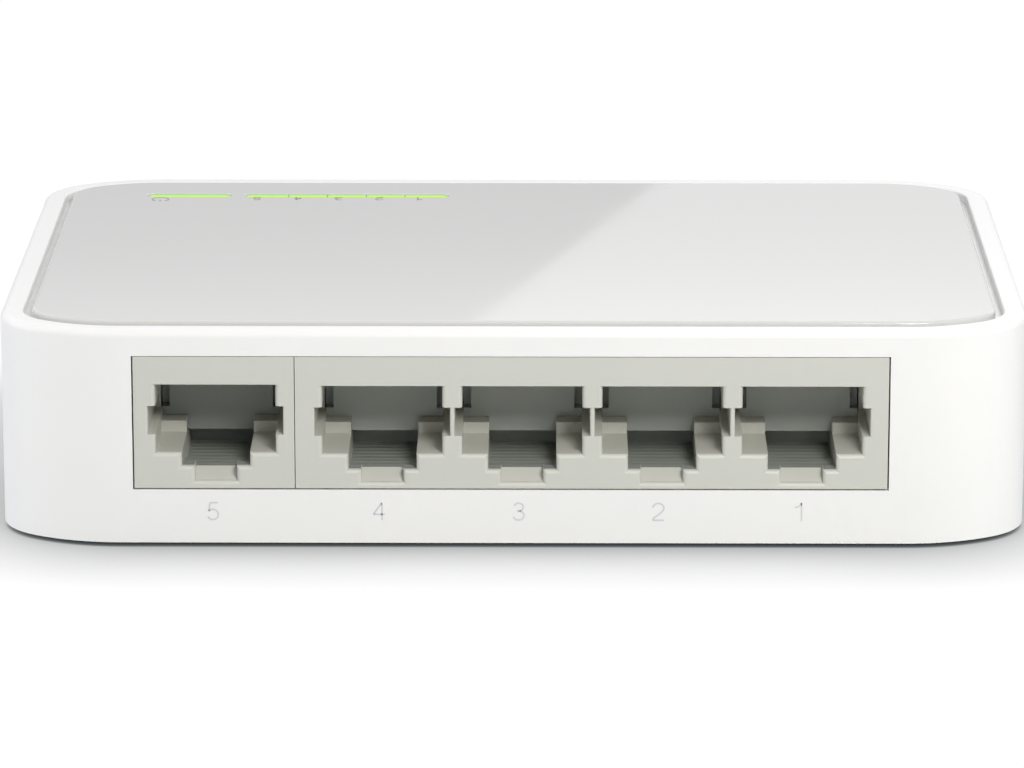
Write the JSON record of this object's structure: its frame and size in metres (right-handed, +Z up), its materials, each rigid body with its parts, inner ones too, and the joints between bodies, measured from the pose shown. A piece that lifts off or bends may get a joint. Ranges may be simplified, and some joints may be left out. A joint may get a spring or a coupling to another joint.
{
  "type": "desktop network switch",
  "caption": "Small box-shaped desktop network switch with a row of modular jacks in its front edge and a row of lights in its top.",
  "frame": {"origin": "on the table under the middle of the case's footprint", "axes": "+X along the row of ports from port 5 to port 1, -Y out of the ports, +Z up"},
  "size_m": [0.1036, 0.07, 0.0226],
  "materials": {
    "shell_white": "satin moulded ABS",
    "plate_grey": "fine satin moulded ABS",
    "base_white": "fine spark-textured ABS",
    "jack_grey": "moulded glass-filled polyester, satin",
    "carrier_grey": "moulded polyester, satin",
    "contact_gold": "gold-plated phosphor bronze wire",
    "inlet_black": "moulded nylon",
    "nickel": "nickel plate",
    "tinned_leads": "bright tin plate",
    "light_green": "clear acrylic, lit green",
    "holder_black": "moulded nylon",
    "led_package": "clear epoxy on white base",
    "board_green": "green solder resist on glass epoxy",
    "epoxy_black": "moulded epoxy",
    "can_sleeve": "shrink sleeve over aluminium can",
    "crystal_can": "drawn nickel-plated steel",
    "ferrite": "sintered ferrite",
    "chip_ceramic": "fired ceramic with tinned ends",
    "foot_rubber": "moulded elastomer, matt",
    "screw_steel": "zinc-plated steel",
    "label_film": "blank polyester label, satin"
  },
  "bodies": {
    "switch": {"upper_shell": "shell_white", "lower_shell": "base_white", "top_plate": "plate_grey", "rating_label": "label_film", "case_screws": "screw_steel", "main_board": "board_green", "jack_body_port_5": "jack_grey", "jack_body_ports_1_to_4": "jack_grey", "power_inlet_body": "inlet_black", "power_inlet_pin": "nickel", "power_inlet_terminals": "nickel", "power_light_pipe": "light_green", "light_pipe_holder": "holder_black", "power_light": "led_package", "port_lights": "led_package", "switch_chip": "epoxy_black", "switch_chip_leads": "tinned_leads", "magnetics_leads": "tinned_leads", "capacitor_large": "can_sleeve", "capacitor_small": "can_sleeve", "crystal": "crystal_can", "voltage_regulator": "epoxy_black", "voltage_regulator_leads": "tinned_leads", "power_inductor": "ferrite", "input_diode": "epoxy_black", "magnetics_single": "epoxy_black", "magnetics_quad": "epoxy_black", "chip_resistors": "chip_ceramic", "chip_capacitors": "chip_ceramic", "foot_port_side_left": "foot_rubber", "foot_port_side_right": "foot_rubber", "foot_light_side_left": "foot_rubber", "foot_light_side_right": "foot_rubber", "contact_carrier_5": "carrier_grey", "contact_leads_5": "contact_gold", "port_light_pipe_5": "light_green", "contact_carrier_4": "carrier_grey", "contact_leads_4": "contact_gold", "port_light_pipe_4": "light_green", "contact_carrier_3": "carrier_grey", "contact_leads_3": "contact_gold", "port_light_pipe_3": "light_green", "contact_carrier_2": "carrier_grey", "contact_leads_2": "contact_gold", "port_light_pipe_2": "light_green", "contact_carrier_1": "carrier_grey", "contact_leads_1": "contact_gold", "port_light_pipe_1": "light_green"},
    "contact_springs_1": {"contact_fingers_1": "contact_gold"},
    "contact_springs_2": {"contact_fingers_2": "contact_gold"},
    "contact_springs_3": {"contact_fingers_3": "contact_gold"},
    "contact_springs_4": {"contact_fingers_4": "contact_gold"},
    "contact_springs_5": {"contact_fingers_5": "contact_gold"},
    "inlet_contact": {"power_inlet_spring": "nickel"}
  },
  "joints": [
    {"name": "contact_flex_1", "type": "hinge", "parent": "switch", "child": "contact_springs_1", "pos_m": [0.02888, -0.0326, 0.01695], "axis": [1, 0, 0], "range_deg": [0, 9], "stiffness_Nm_per_rad": 0.5},
    {"name": "contact_flex_2", "type": "hinge", "parent": "switch", "child": "contact_springs_2", "pos_m": [0.01491, -0.0326, 0.01695], "axis": [1, 0, 0], "range_deg": [0, 9], "stiffness_Nm_per_rad": 0.5},
    {"name": "contact_flex_3", "type": "hinge", "parent": "switch", "child": "contact_springs_3", "pos_m": [0.00094, -0.0326, 0.01695], "axis": [1, 0, 0], "range_deg": [0, 9], "stiffness_Nm_per_rad": 0.5},
    {"name": "contact_flex_4", "type": "hinge", "parent": "switch", "child": "contact_springs_4", "pos_m": [-0.01303, -0.0326, 0.01695], "axis": [1, 0, 0], "range_deg": [0, 9], "stiffness_Nm_per_rad": 0.5},
    {"name": "contact_flex_5", "type": "hinge", "parent": "switch", "child": "contact_springs_5", "pos_m": [-0.02967, -0.0326, 0.01707], "axis": [1, 0, 0], "range_deg": [0, 9], "stiffness_Nm_per_rad": 0.5},
    {"name": "inlet_contact_flex", "type": "hinge", "parent": "switch", "child": "inlet_contact", "pos_m": [-0.0393, 0.006, 0.00855], "axis": [0, -1, 0], "range_deg": [0, 4.5], "stiffness_Nm_per_rad": 0.25}
  ]
}
